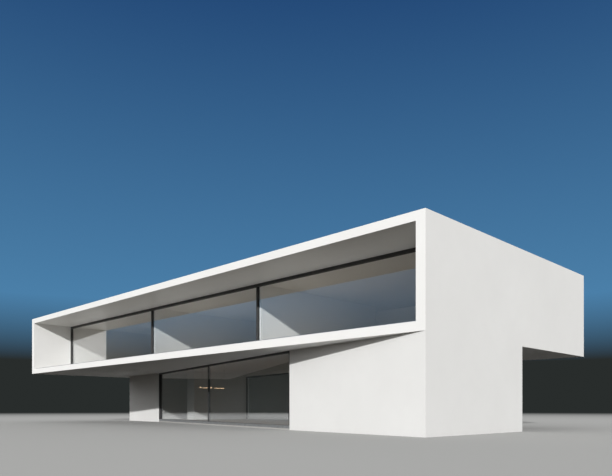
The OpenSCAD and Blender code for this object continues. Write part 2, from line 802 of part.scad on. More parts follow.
module lamp_frame() {
    color(frame_black) {
        block(lamp_s, lamp_t, lamp_z, bar_w, lamp_l, bar_h);
        for (t = rod_places) {
            place = at([lamp_s + bar_w / 2, lamp_t + t]);
            translate([place[0], place[1], lamp_z + bar_h - eps])
                cylinder(r = rod_r, h = overhang_z - lamp_z - bar_h + eps, $fn = 16);
            translate([place[0], place[1], overhang_z - cup_h])
                cylinder(r = cup_r, h = cup_h, $fn = 32);
        }
    }
}

module lamp_globes_and_tubes() {
    lamp_top = lamp_z + bar_h;
    color(lamp_white) {
        for (t = globe_places) {
            place = at([lamp_s + bar_w / 2, lamp_t + t]);
            difference() {
                translate([place[0], place[1], lamp_top + globe_r - globe_seat])
                    sphere(r = globe_r, $fn = 32);
                block(lamp_s - globe_r, lamp_t + t - globe_r, lamp_top - 2 * globe_r,
                    2 * globe_r + bar_w, 2 * globe_r, 2 * globe_r);
            }
        }
        for (span = tube_spans) {
            place = at([lamp_s + bar_w / 2, lamp_t + span[0]]);
            difference() {
                translate([place[0], place[1], lamp_top + tube_r - tube_seat]) rotate([-90, 0, 0])
                    cylinder(r = tube_r, h = span[1] - span[0], $fn = 32);
                block(lamp_s - tube_r, lamp_t + span[0] - eps, lamp_top - 2 * tube_r,
                    2 * tube_r + bar_w, span[1] - span[0] + 2 * eps, 2 * tube_r);
            }
        }
    }
}

upper_floor_slab();
roof_slab();
parapet();
roof_covering();
right_end_wall();
left_end_wall();
rear_sill_wall();
rear_piers();
partitions();
bedroom_floor();
loggia_paving();
upper_head_rail();
upper_sill_rail();
upper_posts();
upper_glass_right();
upper_glass_middle();
upper_glass_left();
rear_window_rails();
rear_window_posts();
rear_window_glass();
ground_slab();
ground_floor();
right_side_wall();
front_right_wall();
front_left_wall();
left_side_wall();
rear_wall_right();
rear_wall_left();
core_front_wall();
core_side_walls();
hall_partition();
garden_rails();
garden_posts();
garden_glass();
terrace_head_rail();
terrace_sill();
terrace_jambs();
fixed_leaf_frame();
fixed_leaf_glass();
sliding_leaf_frame();
sliding_leaf_glass();
leaf_rollers();
leaf_handle();
lamp_frame();
lamp_globes_and_tubes();
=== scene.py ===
# Detached house: a long white picture-frame storey carried across a shorter, skewed ground storey.
# X runs along the front, Y from the front towards the back and Z upwards, in metres.
import json
import math
import random

import bmesh
import bpy
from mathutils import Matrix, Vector

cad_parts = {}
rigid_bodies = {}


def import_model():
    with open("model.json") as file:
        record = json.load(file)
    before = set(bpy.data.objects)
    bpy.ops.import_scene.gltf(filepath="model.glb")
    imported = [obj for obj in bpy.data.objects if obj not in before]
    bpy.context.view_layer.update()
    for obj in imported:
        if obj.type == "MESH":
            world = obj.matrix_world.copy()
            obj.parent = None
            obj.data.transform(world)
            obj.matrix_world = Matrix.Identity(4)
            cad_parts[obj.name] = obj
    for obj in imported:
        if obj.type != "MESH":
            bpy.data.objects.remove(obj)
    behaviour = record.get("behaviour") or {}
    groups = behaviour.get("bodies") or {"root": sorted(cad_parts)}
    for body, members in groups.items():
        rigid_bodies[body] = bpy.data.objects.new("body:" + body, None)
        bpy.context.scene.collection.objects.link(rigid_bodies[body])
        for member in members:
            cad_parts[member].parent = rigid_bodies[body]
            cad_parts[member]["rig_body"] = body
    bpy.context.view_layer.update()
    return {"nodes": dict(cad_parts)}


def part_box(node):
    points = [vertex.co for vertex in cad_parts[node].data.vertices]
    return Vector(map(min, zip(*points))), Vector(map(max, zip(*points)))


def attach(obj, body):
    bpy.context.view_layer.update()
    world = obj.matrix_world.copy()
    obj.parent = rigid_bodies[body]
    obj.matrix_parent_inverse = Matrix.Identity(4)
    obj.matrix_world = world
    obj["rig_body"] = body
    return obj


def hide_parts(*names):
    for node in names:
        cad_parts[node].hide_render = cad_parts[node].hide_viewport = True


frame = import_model()

# The view is from low down off the near corner of the house. The lens is shifted upwards and not
# tilted, so that the upright edges of the house stay upright.
eye = bpy.data.cameras.new("eye")
eye.lens = 34.606
eye.sensor_width = 36.0
eye.shift_y = 0.2791
eye.clip_end = 900.0
viewer = bpy.data.objects.new("viewer", eye)
viewer.location = (23.671, -19.869, 0.802)
viewer.rotation_euler = (math.radians(90.0), 0.0, math.radians(44.94))
bpy.context.scene.collection.objects.link(viewer)
bpy.context.scene.camera = viewer
bpy.context.scene.view_settings.view_transform = "Standard"


# The studio: a wide pale floor that takes the shadow of the house and darkens with distance into a
# plain backdrop, dark at its foot and blue above. Soft light comes from all round, a hard key from the
# front right, and little from the floor, so that the undersides of the slabs stay deep grey.
class Wire:
    """A socket among a finish's nodes. Sums and products of sockets and numbers add Math nodes."""

    def __init__(self, tree, socket=None):
        self.tree, self.socket = tree, socket

    def node(self, kind, settings=None, inputs=None, output=0):
        """One node, from its type, its settings and the values or links of its sockets."""
        made = self.tree.nodes.new("ShaderNode" + kind)
        for name, value in (settings or {}).items():
            setattr(made, name, value)
        for name, value in (inputs or {}).items():
            if isinstance(value, Wire):
                self.tree.links.new(value.socket, made.inputs[name])
            else:
                made.inputs[name].default_value = value
        return Wire(self.tree, made.outputs[output] if len(made.outputs) else None)

    def maths(self, operation, first, second=0.0):
        """A Math node on one value or two."""
        return self.node("Math", {"operation": operation}, {0: first, 1: second})

    def __add__(self, other):
        return self.maths("ADD", self, other)

    def __sub__(self, other):
        return self.maths("SUBTRACT", self, other)

    def __mul__(self, other):
        return self.maths("MULTIPLY", self, other)

    def __truediv__(self, other):
        return self.maths("DIVIDE", self, other)

    def __pow__(self, other):
        return self.maths("POWER", self, other)

    def __radd__(self, other):
        return self.maths("ADD", other, self)

    def __rsub__(self, other):
        return self.maths("SUBTRACT", other, self)

    def __rmul__(self, other):
        return self.maths("MULTIPLY", other, self)


def new_finish(name):
    """An empty finish, the wire that its nodes start from, and the place on the house in metres."""
    finish = bpy.data.materials.new(name)
    finish.use_nodes = True
    finish.node_tree.nodes.clear()
    start = Wire(finish.node_tree)
    return finish, start, start.node("TexCoord", output="Object")


def shown_share(start):
    """1 for what is seen directly, in a reflection or through glass, and 0 for what lights surfaces."""
    rays = [start.node("LightPath", output=ray)
            for ray in ("Is Camera Ray", "Is Glossy Ray", "Is Transmission Ray")]
    return start.maths("MINIMUM", rays[0] + rays[1] + rays[2], 1.0)


def steps(value, low, high):
    """The share by which a value has passed from low to high, held between 0 and 1."""
    return value.node("MapRange", {"clamp": True},
                      {"Value": value, "From Min": low, "From Max": high, "To Min": 0.0, "To Max": 1.0})


def mixed(share, first, second):
    """A colour between two others."""
    return share.node("Mix", {"data_type": "RGBA"}, {0: share, 6: first, 7: second}, output=2)


def coordinate(place, axis):
    """One coordinate of a place or of a direction."""
    return place.node("SeparateXYZ", inputs={0: place}, output=axis)


pale_grey, floor_glow = (0.41, 0.41, 0.40, 1.0), 0.03
floor_bounce = (0.030, 0.027, 0.023, 1.0)
floor_reach, floor_drop = 420.0, 0.002
fade_middle, fade_from, fade_to = (6.0, -8.0, 0.0), 26.0, 120.0
backdrop_foot = (0.022, 0.026, 0.025, 1.0)
backdrop_low = (0.080, 0.240, 0.430, 1.0)
backdrop_high = (0.012, 0.052, 0.165, 1.0)
backdrop_front = (0.25, 0.41, 0.59, 1.0)
foot_light, side_light = (0.11, 0.11, 0.11, 1.0), (0.80, 0.805, 0.81, 1.0)
top_light, plain_white = (0.50, 0.505, 0.51, 1.0), (1.0, 1.0, 1.0, 1.0)
foot_band, front_band, sky_band = (0.175, 0.075), (-0.30, -0.60), (0.10, 0.62)
side_band, top_band = (0.04, 0.16), (0.45, 0.80)

floor_finish, start, place = new_finish("studio_floor")
distance = start.node("VectorMath", {"operation": "DISTANCE"}, {0: place, 1: fade_middle},
                      output="Value")
fade = start.node("MapRange", {"interpolation_type": "SMOOTHSTEP"},
                  {"Value": distance, "From Min": fade_from, "From Max": fade_to})
pale = start.node("BsdfDiffuse", inputs={"Color": pale_grey})
glow = start.node("Emission", inputs={"Color": plain_white, "Strength": floor_glow})
near_floor = start.node("AddShader", inputs={0: pale, 1: glow})
far_floor = start.node("Emission", inputs={"Color": backdrop_foot, "Strength": 1.0})
shown_floor = start.node("MixShader", inputs={0: fade, 1: near_floor, 2: far_floor})
lighting_floor = start.node("BsdfDiffuse", inputs={"Color": floor_bounce})
floor_mix = start.node("MixShader", inputs={0: shown_share(start), 1: lighting_floor, 2: shown_floor})
start.node("OutputMaterial", inputs={"Surface": floor_mix})

floor_mesh = bpy.data.meshes.new("studio_floor")
floor_mesh.from_pydata([(x * floor_reach, y * floor_reach, -floor_drop)
                        for x, y in ((-1, -1), (1, -1), (1, 1), (-1, 1))], [], [(0, 1, 2, 3)])
floor_mesh.materials.append(floor_finish)
studio_floor = bpy.data.objects.new("studio_floor", floor_mesh)
bpy.context.scene.collection.objects.link(studio_floor)

world = bpy.data.worlds.new("studio")
bpy.context.scene.world = world
world.use_nodes = True
world.node_tree.nodes.clear()
start = Wire(world.node_tree)
towards = start.node("TexCoord", output="Generated")
to_back, rise = coordinate(towards, "Y"), coordinate(towards, "Z")
low_shade = mixed(steps(to_back, *front_band), backdrop_low, backdrop_front)
graded = mixed(steps(rise, *sky_band), low_shade, backdrop_high)
graded = mixed(steps(rise, *foot_band), graded, backdrop_foot)
backdrop = start.node("Background", inputs={"Color": graded, "Strength": 1.0})
low_light = mixed(steps(rise, *side_band), foot_light, side_light)
soft_light = mixed(steps(rise, *top_band), low_light, top_light)
fill = start.node("Background", inputs={"Color": soft_light, "Strength": 1.0})
sky_mix = start.node("MixShader", inputs={0: shown_share(start), 1: fill, 2: backdrop})
start.node("OutputWorld", inputs={"Surface": sky_mix})

key_turn, key_height, key_distance = math.radians(35.0), math.radians(18.565), 40.0
key = bpy.data.lights.new("key", "SUN")
key.energy = 2.88
key.angle = math.radians(1.0)
key_lamp = bpy.data.objects.new("key_lamp", key)
towards_key = Vector((math.sin(key_turn) * math.cos(key_height),
                      -math.cos(key_turn) * math.cos(key_height), math.sin(key_height)))
key_lamp.rotation_euler = (-towards_key).to_track_quat("-Z", "Y").to_euler()
key_lamp.location = towards_key * key_distance
bpy.context.scene.collection.objects.link(key_lamp)


# Outer walls, fascias and soffits: masonry and concrete with a fine white mineral render, floated by
# hand and painted. Its surface is matt, with the soft waves of the float and a sand-fine grain.
seed_way = (1.0, 0.7, 1.3)


def dress(finish, *names):
    """Gives the CAD pieces of these names a finish."""
    for name in names:
        for held in frame["nodes"][name].material_slots:
            held.material = finish


def noise(place, scale, detail=3.0, stretch=(1.0, 1.0, 1.0), seed=0.0):
    """Soft noise of so many waves to the metre, stretched along the axes and moved on by a seed."""
    shifted = place.node("Mapping", inputs={
        "Vector": place, "Location": [seed * share for share in seed_way], "Scale": stretch})
    return shifted.node("TexNoise", inputs={"Vector": shifted, "Scale": scale, "Detail": detail})


def relief(height, depth, strength):
    """The normal of a surface whose height varies by so many metres, felt more or less strongly."""
    return height.node("Bump", inputs={"Height": height, "Distance": depth, "Strength": strength})


def facing_up(start):
    """1 on what faces straight up, 0 on walls and -1 on undersides."""
    return coordinate(start.node("NewGeometry", output="Normal"), "Z")


def coat(start, look):
    """One surface of the given look, which ends a finish."""
    surface = start.node("BsdfPrincipled", inputs=look)
    start.node("OutputMaterial", inputs={"Surface": surface})


def white_render(name, under_roughness):
    """White render on walls and edges, with undersides skimmed smooth to a roughness of their own."""
    finish, start, place = new_finish(name)
    cloud = noise(place, 0.45, 5.0)
    float_waves = noise(place, 2.6, 4.0, seed=11.0)
    sand = noise(place, 260.0, 2.0, seed=4.0)
    pores = noise(place, 60.0, 3.0, seed=23.0)
    near_ground = 1.0 - steps(coordinate(place, "Z"), 0.0, splash_h)
    splash = near_ground * steps(noise(place, 5.0, 6.0), 0.35, 0.75)
    underside = steps(-1.0 * facing_up(start), 0.5, 0.9)
    shade = mixed(steps(cloud, 0.3, 0.7), render_fresh, render_chalky)
    shade = mixed(steps(float_waves, 0.45, 0.8) * 0.25, shade, float_mark)
    shade = mixed(splash * 0.10, shade, splash_mud)
    matt = (0.82 + pores * 0.14) * (1.0 - underside) + (under_roughness + pores * 0.06) * underside
    float_height = float_waves * 0.5 + pores * 0.16 + sand * 0.08
    coat(start, {
        "Base Color": shade, "Roughness": matt,
        "Normal": relief(float_height * (1.0 - underside * 0.8), 0.004, 0.5)})
    return finish


render_fresh, render_chalky = (0.905, 0.898, 0.875, 1.0), (0.872, 0.864, 0.840, 1.0)
float_mark, splash_mud, splash_h = (0.845, 0.838, 0.820, 1.0), (0.62, 0.60, 0.55, 1.0), 0.22
matt_underside, satin_underside = 0.7, 0.3
dress(white_render("white_render", matt_underside), "upper_floor_slab", "parapet", "right_end_wall",
      "left_end_wall", "rear_sill_wall", "rear_piers", "right_side_wall", "front_right_wall",
      "front_left_wall", "left_side_wall", "rear_wall_right", "rear_wall_left")
dress(white_render("white_render_satin_soffit", satin_underside), "roof_slab")


# Inner walls: partitions, the core and the hall wall, in smooth gypsum plaster rolled with matt white
# paint, which leaves a faint orange-peel stipple.
plaster_white, plaster_shade = (0.935, 0.928, 0.905, 1.0), (0.910, 0.902, 0.880, 1.0)
inner_plaster, start, place = new_finish("inner_plaster")
stipple = noise(place, 190.0, 2.0)
trowel = noise(place, 1.7, 4.0, seed=7.0)
coat(start, {
    "Base Color": mixed(steps(trowel, 0.3, 0.7), plaster_white, plaster_shade),
    "Roughness": 0.62 + stipple * 0.2,
    "Normal": relief(stipple * 0.1 + trowel * 0.5, 0.002, 0.4)})
dress(inner_plaster, "partitions", "core_front_wall", "core_side_walls", "hall_partition")


# Window and door frames: extruded aluminium profiles, powder coated in near-black with a fine
# texture. Dust lies thinly on what faces upwards.
powder_black, powder_worn = (0.042, 0.042, 0.043, 1.0), (0.062, 0.061, 0.060, 1.0)
dust_shade = (0.22, 0.21, 0.19, 1.0)
frame_black, start, place = new_finish("frame_black")
powder = noise(place, 700.0, 1.0)
handling = noise(place, 3.0, 5.0, seed=3.0)
dust = steps(facing_up(start), 0.5, 1.0) * steps(noise(place, 9.0, 5.0, seed=5.0), 0.3, 0.8)
coat(start, {
    "Base Color": mixed(dust * 0.35, mixed(handling, powder_black, powder_worn), dust_shade),
    "Roughness": 0.42 + handling * 0.12 + dust * 0.3,
    "Specular IOR Level": 0.3, "Normal": relief(powder, 0.0003, 0.35)})
dress(frame_black, "upper_head_rail", "upper_sill_rail", "upper_posts", "rear_window_rails",
      "rear_window_posts", "garden_rails", "garden_posts", "terrace_head_rail", "terrace_jambs",
      "fixed_leaf_frame", "sliding_leaf_frame")


# Sill of the terrace door: a plain extruded aluminium track, flush with the floor and so left without
# paint. Feet and the door's rollers have rubbed it along its length.
bare_aluminium, scuffed_aluminium = (0.60, 0.59, 0.575, 1.0), (0.44, 0.425, 0.405, 1.0)
sill_metal, start, place = new_finish("sill_metal")
drawn = noise(place, 16.0, 4.0, stretch=(0.06, 12.0, 12.0))
scuffs = steps(noise(place, 7.0, 6.0, seed=17.0), 0.48, 0.70)
coat(start, {
    "Base Color": mixed(scuffs * 0.5, bare_aluminium, scuffed_aluminium),
    "Metallic": 0.85, "Roughness": 0.34 + drawn * 0.12 + scuffs * 0.14,
    "Normal": relief(drawn + scuffs * 0.3, 0.0004, 0.4)})
dress(sill_metal, "terrace_sill")


# Glass: sealed panes with a thin solar coating, held in the frames' grooves. They let the sun in and
# mirror what stands in front of them more and more as the view grows flat.
pane_tint, mirror_tint = (0.990, 0.996, 0.993, 1.0), (0.97, 0.985, 1.0, 1.0)
head_on_share, steepness = 0.08, 2.3
window_glass, start, place = new_finish("window_glass")
grazing = start.node("LayerWeight", inputs={"Blend": 0.5}, output="Facing")
sunlight = start.node("LightPath", output="Is Shadow Ray")
mirror_share = (head_on_share + (1.0 - head_on_share) * grazing ** steepness) * (1.0 - sunlight)
roller_wave = noise(place, 0.9, 2.0)
clear = start.node("BsdfTransparent", inputs={"Color": pane_tint})
mirror = start.node("BsdfGlossy", inputs={"Color": mirror_tint, "Roughness": 0.0,
                                          "Normal": relief(roller_wave, 0.002, 0.25)})
pane_mix = start.node("MixShader", inputs={0: mirror_share, 1: clear, 2: mirror})
start.node("OutputMaterial", inputs={"Surface": pane_mix})
glazed = ("upper_glass_right", "upper_glass_middle", "upper_glass_left", "rear_window_glass",
          "garden_glass", "fixed_leaf_glass", "sliding_leaf_glass")
dress(window_glass, *glazed)


# Glazing gaskets: black rubber wedges pressed between each pane and its frame, on both faces, and
# mitred at the corners.
same_point, same_level, same_plane = 1e-5, 1e-3, 0.01


def new_piece(name, mesh, finish, body="root"):
    """A finished piece from a mesh under construction, riding on a CAD body."""
    bmesh.ops.recalc_face_normals(mesh, faces=mesh.faces)
    data = bpy.data.meshes.new(name)
    mesh.to_mesh(data)
    mesh.free()
    data.materials.append(finish)
    piece = bpy.data.objects.new(name, data)
    bpy.context.scene.collection.objects.link(piece)
    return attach(piece, body)


def solids_of(name):
    """Each separate solid of a CAD piece as a list of corners, with flat faces made whole."""
    mesh = bmesh.new()
    mesh.from_mesh(frame["nodes"][name].data)
    bmesh.ops.remove_doubles(mesh, verts=mesh.verts, dist=same_point)
    bmesh.ops.dissolve_limit(mesh, angle_limit=same_plane, verts=mesh.verts, edges=mesh.edges)
    solids, seen = [], set()
    for first in mesh.verts:
        if first in seen:
            continue
        solid = [first]
        seen.add(first)
        for corner in solid:
            near = [edge.other_vert(corner) for edge in corner.link_edges]
            unseen = [other for other in near if other not in seen]
            solid.extend(unseen)
            seen.update(unseen)
        solids.append(solid)
    return mesh, solids


def plan_direction(corners):
    """The direction of a solid's longest level edge."""
    level = [edge for corner in corners for edge in corner.link_edges
             if abs(edge.verts[0].co.z - edge.verts[1].co.z) < same_point]
    longest = max(level, key=lambda edge: edge.calc_length())
    run = (longest.verts[1].co - longest.verts[0].co).normalized()
    return run if run.x > 0 else -run


def join(mesh, here, there):
    """The faces between two loops of corners."""
    for i in range(len(here)):
        k = (i + 1) % len(here)
        mesh.faces.new((here[i], here[k], there[k], there[i]))


def add_ring(mesh, middle, along, out, half_l, half_h, section):
    """A mitred ring round a rectangle. Its section is a list of (inwards, outwards) points."""
    loops = [[mesh.verts.new(middle + along * (sx * (half_l - inwards))
                             + Vector((0, 0, sz * (half_h - inwards))) + out * outwards)
              for inwards, outwards in section] for sx, sz in ((-1, -1), (1, -1), (1, 1), (-1, 1))]
    for side in range(4):
        join(mesh, loops[side], loops[(side + 1) % 4])


rubber_black, rubber_bloom = (0.010, 0.010, 0.010, 1.0), (0.028, 0.027, 0.026, 1.0)
rubber, start, place = new_finish("gasket_rubber")
bloom = noise(place, 14.0, 4.0)
coat(start, {
    "Base Color": mixed(bloom, rubber_black, rubber_bloom),
    "Roughness": 0.62 + bloom * 0.2, "Normal": relief(noise(place, 900.0, 1.0), 0.0002, 0.3)})

pane_grip = 0.015
gasket_w, gasket_t, thin_edge, flat_top = 0.008, 0.005, 0.002, 0.0024
wedge = [(0.0, 0.0), (gasket_w, 0.0), (gasket_w, thin_edge), (flat_top, gasket_t), (0.0, gasket_t)]
for name in glazed:
    panes, solids = solids_of(name)
    gaskets = bmesh.new()
    for corners in solids:
        along = plan_direction(corners)
        out = Vector((along.y, -along.x, 0.0))
        points = [corner.co for corner in corners]
        middle = sum(points, Vector()) / len(points)
        half_l = max((point - middle).dot(along) for point in points) - pane_grip
        half_h = max(point.z - middle.z for point in points) - pane_grip
        half_t = max((point - middle).dot(out) for point in points)
        for side in (1.0, -1.0):
            add_ring(gaskets, middle + out * (side * half_t), along, out * side, half_l, half_h, wedge)
    panes.free()
    body = frame["nodes"][name]["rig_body"]
    new_piece(name.replace("glass", "gaskets"), gaskets, rubber, body)


# Interlock of the terrace door: a rubber-lipped strip up the moving leaf's meeting stile, which closes
# the gap to the fixed leaf behind it.
def add_solid(mesh, *ends):
    """A solid between two loops of points, which outline its end faces."""
    here, there = ([mesh.verts.new(point) for point in end] for end in ends)
    join(mesh, here, there)
    mesh.faces.new(here)
    mesh.faces.new(there)


def add_block(mesh, corner, along, out, length, depth, height):
    """An upright block from its lower corner, of a length along, a depth outwards and a height."""
    foot = [corner + along * x + out * y for x, y in ((0, 0), (length, 0), (length, depth), (0, depth))]
    add_solid(mesh, foot, [point + Vector((0, 0, height)) for point in foot])


leaf_t, end_gap, past_pane = 0.050, 0.005, 0.0192
carrier_w, carrier_d, lip_w, lip_d = 0.024, 0.009, 0.0035, 0.012
panes, solids = solids_of("sliding_leaf_glass")
along = plan_direction(solids[0])
inwards = Vector((-along.y, along.x, 0.0))
points = [corner.co for corner in solids[0]]
middle = sum(points, Vector()) / len(points)
far_end = min((point - middle).dot(along) for point in points)
strip_h = 2 * (max(point.z for point in points) - middle.z - pane_grip - end_gap)
foot_of_strip = (middle + along * (far_end - past_pane) + inwards * (leaf_t / 2)
                 - Vector((0, 0, strip_h / 2)))
interlock = bmesh.new()
add_block(interlock, foot_of_strip, along, inwards, carrier_w, carrier_d, strip_h)
for x in (0.0, carrier_w - lip_w):
    add_block(interlock, foot_of_strip + along * x + inwards * carrier_d, along, inwards, lip_w,
              lip_d - carrier_d, strip_h)
panes.free()
new_piece("leaf_interlock", interlock, rubber, "sliding_leaf")


# Weep caps: small moulded covers, clipped over the drain slots in the outer faces of the lower rails
# of the upper glazing and of the rear windows.
def every(pitch, first, last):
    """Places a pitch apart, from the first on and short of the last."""
    return [first + i * pitch for i in range(math.ceil((last - first) / pitch))]


def box_of(corners):
    """The low and the high corner of the box round some corners."""
    return [Vector([pick(corner.co[i] for corner in corners) for i in range(3)]) for pick in (min, max)]


cap_l, cap_d, cap_h, cap_rise = 0.036, 0.004, 0.010, 0.042
cap_pitch, rear_cap_shares = 1.45, (0.125, 0.375, 0.625, 0.875)
along, front = Vector((1.0, 0.0, 0.0)), Vector((0.0, -1.0, 0.0))
caps = bmesh.new()
low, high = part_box("upper_sill_rail")
for x in every(cap_pitch, low.x + cap_pitch / 2, high.x - cap_l):
    add_block(caps, Vector((x, low.y, low.z + cap_rise)), along, front, cap_l, cap_d, cap_h)
rails, solids = solids_of("rear_window_rails")
rail_boxes = [box_of(corners) for corners in solids]
rails.free()
rail_foot = min(low.z for low, high in rail_boxes)
rear_rails = [(low, high) for low, high in rail_boxes if low.z < rail_foot + same_level]
for low, high in rear_rails:
    for share in rear_cap_shares:
        corner = Vector((low.x + (high.x - low.x) * share - cap_l / 2, high.y, low.z + cap_rise))
        add_block(caps, corner, along, -front, cap_l, cap_d, cap_h)
new_piece("weep_caps", caps, rubber)


# Outer sills of the rear windows: folded aluminium sheet, bedded on the wall's fall, turned up at the
# frame and at both reveals.
def add_prism(mesh, left, right, outline):
    """A prism along X from its outline in (Y, Z)."""
    add_solid(mesh, [(left, y, z) for y, z in outline], [(right, y, z) for y, z in outline])


sheet_t, sill_fall, frame_turn, side_turn = 0.002, 0.012, 0.022, 0.018
sill_gap, edge_gap = 0.0006, 0.001
wall_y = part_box("rear_piers")[1].y - edge_gap
sills = bmesh.new()
for low, high in rear_rails:
    left, right = low.x + sill_gap, high.x - sill_gap
    frame_y, frame_z = high.y + sill_gap, low.z + sill_gap
    nose_z = frame_z - sill_fall
    add_prism(sills, left, right, [
        (frame_y, frame_z), (wall_y, nose_z), (wall_y, nose_z + sheet_t),
        (frame_y + sheet_t, frame_z + sheet_t), (frame_y + sheet_t, frame_z + frame_turn),
        (frame_y, frame_z + frame_turn)])
    for x in (left, right - sheet_t):
        add_prism(sills, x, x + sheet_t, [
            (frame_y, frame_z), (wall_y, nose_z), (wall_y, nose_z + side_turn),
            (frame_y, frame_z + side_turn)])
new_piece("rear_window_sills", sills, sill_metal)


# Floors of the rooms: oak boards with eased edges, laid in a running bond, limed pale upstairs and
# smoked brown below. They fill the floor covering's whole height.
offcut_area = 0.003


def top_of(name):
    """The flat top of a CAD piece as one face."""
    mesh = bmesh.new()
    mesh.from_mesh(frame["nodes"][name].data)
    bmesh.ops.remove_doubles(mesh, verts=mesh.verts, dist=same_point)
    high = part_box(name)[1].z
    lower = [face for face in mesh.faces if face.calc_center_median().z < high - same_level]
    bmesh.ops.delete(mesh, geom=lower, context="FACES")
    bmesh.ops.dissolve_faces(mesh, faces=mesh.faces[:])
    return mesh


def cut(mesh, faces, point, across):
    """Cuts some faces along an upright plane through a point."""
    edges = {edge for face in faces for edge in face.edges}
    corners = {corner for face in faces for corner in face.verts}
    bmesh.ops.bisect_plane(mesh, geom=[*faces, *edges, *corners], dist=same_point,
                           plane_co=point, plane_no=across)


def sawn(name, row_w, unit_l, shift, origin):
    """The top of a CAD piece cut along X into rows, and each row into lengths, as loose faces."""
    mesh = top_of(name)
    along, across = Vector((1.0, 0.0, 0.0)), Vector((0.0, 1.0, 0.0))
    zero = Vector((*origin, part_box(name)[1].z))

    def faces_in(row):
        """The faces of one row."""
        return [face for face in mesh.faces
                if math.floor((face.calc_center_median() - zero).dot(across) / row_w) == row]

    reach = [(corner.co - zero).dot(across) for corner in mesh.verts]
    first, last = math.floor(min(reach) / row_w), math.ceil(max(reach) / row_w)
    for row in range(first + 1, last):
        cut(mesh, mesh.faces[:], zero + across * (row * row_w), across)
    bmesh.ops.split_edges(mesh, edges=mesh.edges[:])
    for row in range(first, last):
        run = [(corner.co - zero).dot(along) for face in faces_in(row) for corner in face.verts]
        offset = (row * shift) % 1.0 * unit_l
        for k in range(math.floor((min(run) - offset) / unit_l) + 1,
                       math.ceil((max(run) - offset) / unit_l)):
            cut(mesh, faces_in(row), zero + along * (offset + k * unit_l), along)
    bmesh.ops.split_edges(mesh, edges=mesh.edges[:])
    offcuts = [face for face in mesh.faces if face.calc_area() < offcut_area]
    bmesh.ops.delete(mesh, geom=offcuts, context="FACES")
    return mesh


def laid(name, row_w, unit_l, shift, joint, ease, origin=(0.0, 0.0)):
    """A CAD piece as rows of boards or slabs, each a solid with eased edges and a tone of its own."""
    mesh = sawn(name, row_w, unit_l, shift, origin)
    low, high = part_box(name)
    rims = bmesh.ops.inset_individual(mesh, faces=mesh.faces[:], thickness=joint / 2)["faces"]
    bmesh.ops.delete(mesh, geom=rims, context="FACES")
    for face in mesh.faces:
        if face.normal.z < 0:
            face.normal_flip()
    random.seed(len(mesh.faces))
    tone = mesh.faces.layers.float.new("tone")
    for face in mesh.faces:
        face[tone] = random.random()
    bmesh.ops.solidify(mesh, geom=mesh.faces[:], thickness=high.z - low.z)
    rims = [edge for edge in mesh.edges
            if all(abs(corner.co.z - high.z) < same_level for corner in edge.verts)
            and len(edge.link_faces) == 2]
    bmesh.ops.bevel(mesh, geom=rims, offset=ease, segments=1, affect="EDGES")
    return mesh


def oak_boards(name, shades, fibre_shade):
    """Brushed oak: two shades in the grain, a third that boards take on more or less, dark fibres."""
    finish, start, place = new_finish(name)
    tone = start.node("Attribute", {"attribute_name": "tone"}, output="Fac")
    grain_place = start.node("CombineXYZ", inputs={
        "X": coordinate(place, "X") + tone * grain_run, "Y": coordinate(place, "Y"),
        "Z": tone * grain_depth})
    grain = noise(grain_place, 4.0, 8.0, stretch=(0.35, 9.0, 1.0))
    fibres = noise(grain_place, 60.0, 3.0, stretch=(0.08, 3.0, 1.0), seed=9.0)
    shade = mixed(tone * 0.5, mixed(steps(grain, 0.30, 0.72), shades[0], shades[1]), shades[2])
    coat(start, {
        "Base Color": mixed(steps(fibres, 0.5, 0.8) * 0.4, shade, fibre_shade),
        "Roughness": 0.42 + fibres * 0.22, "Normal": relief(fibres * 0.6 + grain * 0.4, 0.0006, 0.5)})
    return finish


grain_run, grain_depth = 37.0, 19.0
limed = ((0.470, 0.390, 0.305, 1.0), (0.360, 0.285, 0.210, 1.0), (0.530, 0.450, 0.365, 1.0))
smoked = ((0.215, 0.150, 0.098, 1.0), (0.130, 0.085, 0.052, 1.0), (0.250, 0.182, 0.124, 1.0))
limed_fibres, smoked_fibres = (0.260, 0.200, 0.140, 1.0), (0.075, 0.048, 0.030, 1.0)
limed_oak = oak_boards("limed_oak_boards", limed, limed_fibres)
smoked_oak = oak_boards("smoked_oak_boards", smoked, smoked_fibres)
board_w, board_l, board_shift, board_joint, board_ease = 0.19, 2.3, 0.37, 0.0016, 0.0012
for name, piece_name, finish in (("bedroom_floor", "upper_oak_boards", limed_oak),
                                 ("ground_floor", "ground_oak_boards", smoked_oak)):
    boards = new_piece(
        piece_name, laid(name, board_w, board_l, board_shift, board_joint, board_ease), finish)
    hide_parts(name)


# Loggia paving: pale sawn stone slabs in three rows, on pads, with open joints that let the rain
# through.
stone_shades = ((0.43, 0.42, 0.40, 1.0), (0.53, 0.52, 0.49, 1.0), (0.60, 0.58, 0.54, 1.0))
speckle_shade = (0.42, 0.41, 0.39, 1.0)
stone, start, place = new_finish("paving_stone")
tone = start.node("Attribute", {"attribute_name": "tone"}, output="Fac")
speckle = noise(place, 130.0, 4.0)
cloud = noise(place, 2.2, 6.0, seed=2.0)
shade = mixed(tone * 0.4, mixed(cloud, stone_shades[0], stone_shades[1]), stone_shades[2])
coat(start, {
    "Base Color": mixed(steps(speckle, 0.5, 0.75) * 0.4, shade, speckle_shade),
    "Roughness": 0.66 + speckle * 0.2, "Normal": relief(speckle, 0.0008, 0.5)})

low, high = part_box("loggia_paving")
slab_rows, slab_columns, slab_joint, slab_ease = 3, 39, 0.004, 0.002
slab_w, slab_l = (high.y - low.y) / slab_rows, (high.x - low.x) / slab_columns
paving = new_piece("loggia_slabs", laid("loggia_paving", slab_w, slab_l, 0.0, slab_joint, slab_ease,
                                        (low.x, low.y)), stone)
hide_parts("loggia_paving")


